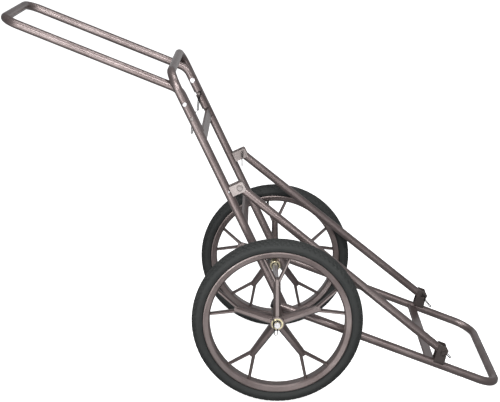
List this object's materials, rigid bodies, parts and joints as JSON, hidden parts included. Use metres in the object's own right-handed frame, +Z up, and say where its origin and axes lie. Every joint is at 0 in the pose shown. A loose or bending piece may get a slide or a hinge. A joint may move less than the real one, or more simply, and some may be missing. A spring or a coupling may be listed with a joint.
{
  "type": "folding two-wheel game cart",
  "caption": "Folding tube-frame hand cart with spoked rubber-tyred wheels, a sloping bed frame, a braced upright and a long bent handle.",
  "frame": {"origin": "on the floor under the middle of the whole cart's box", "axes": "+X from the handle to the foot of the bed, +Y across to the cart's left side, +Z up"},
  "size_m": [1.462, 0.688, 1.1298],
  "materials": {
    "powder_coat": "satin bronze-brown powder coat",
    "wheel_coat": "satin bronze-brown moulded and coated rim",
    "powder_coat_pin": "satin coated pin heads",
    "zinc_bright": "bright zinc plate",
    "zinc_yellow": "yellow zinc plate",
    "spring_steel": "drawn spring wire",
    "tyre_rubber": "matt black rubber with moulded tread",
    "black_rubber": "black rubber",
    "black_plastic": "black plastic"
  },
  "bodies": {
    "bed_frame": {"bed_frame_tube": "powder_coat", "bed_cross_bar": "powder_coat", "rail_axle_sleeves": "powder_coat", "rail_end_caps": "black_plastic", "axle_rod": "zinc_bright", "axle_clips": "spring_steel", "lower_brace_brackets": "powder_coat", "lower_brace_pins": "powder_coat_pin", "lower_brace_clips": "spring_steel"},
    "upright": {"upright_tube": "powder_coat", "upright_lower_bar": "powder_coat", "upright_upper_bar": "powder_coat", "leg_sleeves": "zinc_yellow", "leg_bushings": "black_plastic", "upper_brace_brackets": "powder_coat", "bracket_rivets": "zinc_bright", "upper_brace_pins": "powder_coat_pin", "upper_brace_clips": "spring_steel", "handle_pivot_bolts": "zinc_bright", "handle_pivot_nuts": "zinc_bright", "handle_lock_pins": "powder_coat_pin", "handle_lock_clips": "spring_steel"},
    "handle": {"handle_tube": "powder_coat"},
    "right_brace_body": {"right_brace": "powder_coat"},
    "left_brace_body": {"left_brace": "powder_coat"},
    "right_wheel_body": {"right_wheel_rim": "wheel_coat", "right_wheel_hub": "wheel_coat", "right_wheel_arms": "wheel_coat", "right_tyre": "tyre_rubber", "right_hub_sleeve": "zinc_yellow", "right_hub_bushing": "black_plastic", "right_valve_stem": "black_rubber"},
    "left_wheel_body": {"left_wheel_rim": "wheel_coat", "left_wheel_hub": "wheel_coat", "left_wheel_arms": "wheel_coat", "left_tyre": "tyre_rubber", "left_hub_sleeve": "zinc_yellow", "left_hub_bushing": "black_plastic", "left_valve_stem": "black_rubber"}
  },
  "joints": [
    {"name": "right_wheel_spin", "type": "hinge", "parent": "bed_frame", "child": "right_wheel_body", "pos_m": [0.05428, -0.3046, 0.25], "axis": [0, 1, 0], "continuous": true},
    {"name": "left_wheel_spin", "type": "hinge", "parent": "bed_frame", "child": "left_wheel_body", "pos_m": [0.05428, 0.3046, 0.25], "axis": [0, 1, 0], "continuous": true},
    {"name": "frame_fold", "type": "hinge", "parent": "bed_frame", "child": "upright", "pos_m": [0.05428, 0, 0.25], "axis": [0, 1, 0], "range_deg": [0, 112]},
    {"name": "handle_fold", "type": "hinge", "parent": "upright", "child": "handle", "pos_m": [-0.20661, 0, 0.87599], "axis": [0, -1, 0], "range_deg": [0, 136]},
    {"name": "right_brace_swing", "type": "hinge", "parent": "upright", "child": "right_brace_body", "pos_m": [-0.05264, -0.213, 0.63048], "axis": [0, -1, 0], "range_deg": [0, 139]},
    {"name": "left_brace_swing", "type": "hinge", "parent": "upright", "child": "left_brace_body", "pos_m": [-0.05264, 0.213, 0.63048], "axis": [0, -1, 0], "range_deg": [0, 139]}
  ],
  "couplings": [
    {"joint": "right_brace_swing", "follows": "frame_fold", "ratio": 1.24},
    {"joint": "left_brace_swing", "follows": "frame_fold", "ratio": 1.24}
  ]
}
